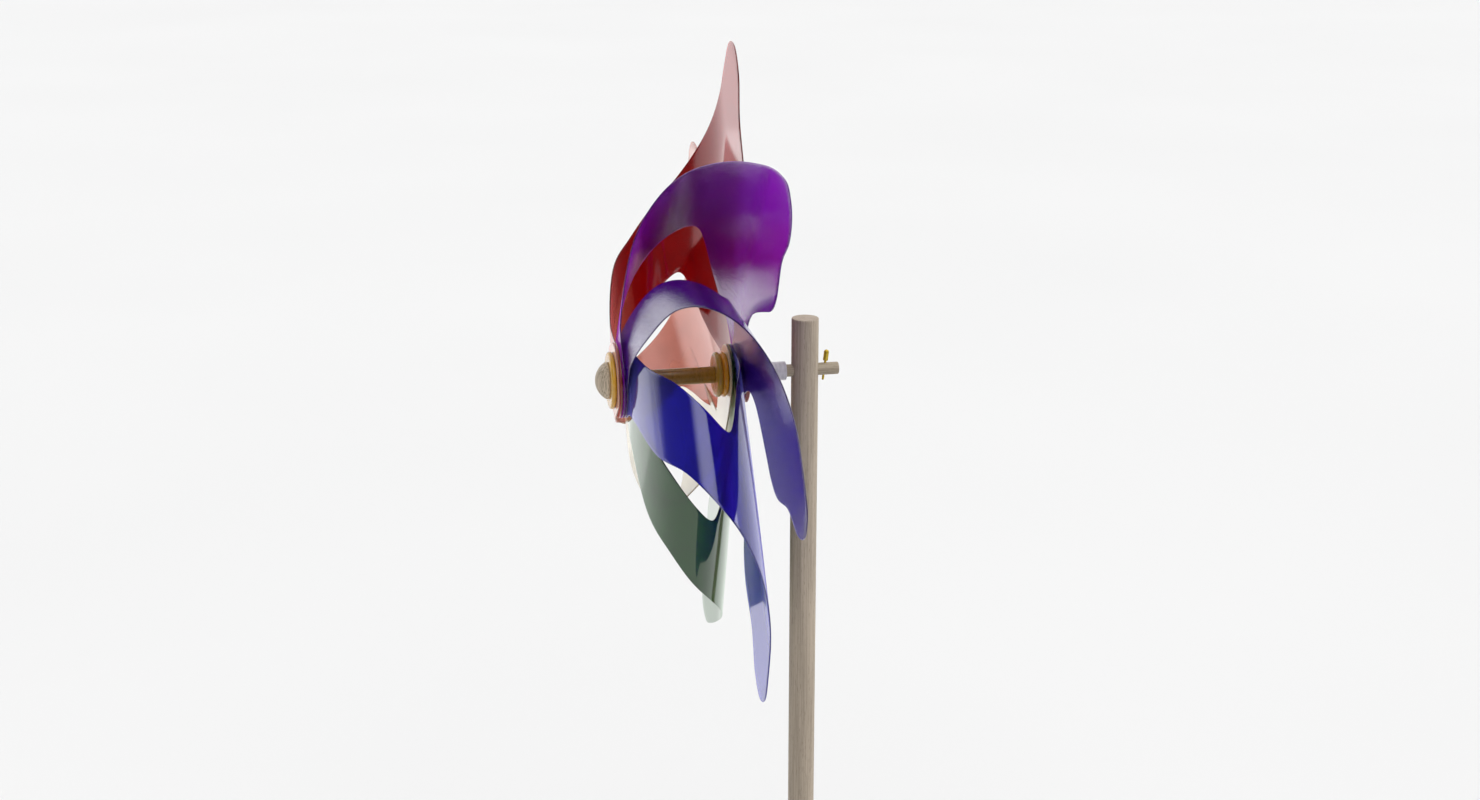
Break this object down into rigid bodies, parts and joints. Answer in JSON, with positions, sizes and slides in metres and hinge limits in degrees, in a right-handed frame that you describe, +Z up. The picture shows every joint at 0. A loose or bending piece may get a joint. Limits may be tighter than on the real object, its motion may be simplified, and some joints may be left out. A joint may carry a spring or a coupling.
{
  "type": "pinwheel",
  "caption": "Garden pinwheel: curled translucent plastic vanes on a wooden axle that spins in a cross hole near the top of a round wooden post.",
  "frame": {"origin": "centre of the post's bottom end", "axes": "+Z up along the post; -Y towards the wheel's front; the axle lies along Y"},
  "size_m": [0.2962, 0.1147, 0.5836],
  "materials": {
    "post_wood": "satin",
    "axle_wood": "satin",
    "cap_wood": "satin",
    "spacer_plastic": "glossy",
    "hub_plastic": "glossy",
    "front_ring_plastic": "glossy",
    "rear_ring_plastic": "glossy",
    "shim_plastic": "glossy",
    "pin_brass": "polished",
    "vane_orange_sheet": "glossy, translucent",
    "vane_red_sheet": "glossy, translucent",
    "vane_violet_sheet": "glossy, translucent",
    "vane_indigo_sheet": "glossy, translucent",
    "vane_blue_sheet": "glossy, translucent",
    "vane_green_sheet": "glossy, translucent",
    "vane_yellow_sheet": "glossy, translucent"
  },
  "bodies": {
    "stand": {"post": "post_wood"},
    "spacer": {"spacer_tube": "spacer_plastic"},
    "wheel": {"axle": "axle_wood", "hub_tube": "hub_plastic", "domed_cap": "cap_wood", "front_ring": "front_ring_plastic", "rear_ring_inner": "rear_ring_plastic", "rear_ring_outer": "rear_ring_plastic", "front_shims": "shim_plastic", "rear_shims": "shim_plastic", "vane_orange": "vane_orange_sheet", "vane_red": "vane_red_sheet", "vane_violet": "vane_violet_sheet", "vane_indigo": "vane_indigo_sheet", "vane_blue": "vane_blue_sheet", "vane_green": "vane_green_sheet", "vane_yellow": "vane_yellow_sheet", "retaining_pin": "pin_brass"}
  },
  "joints": [
    {"name": "end_play", "type": "slide", "parent": "stand", "child": "spacer", "axis": [0, 1, 0], "range_m": [-0.0018, 0.0025]},
    {"name": "wheel_spin", "type": "hinge", "parent": "spacer", "child": "wheel", "pos_m": [0, -0.03, 0.432], "axis": [0, -1, 0], "continuous": true}
  ]
}
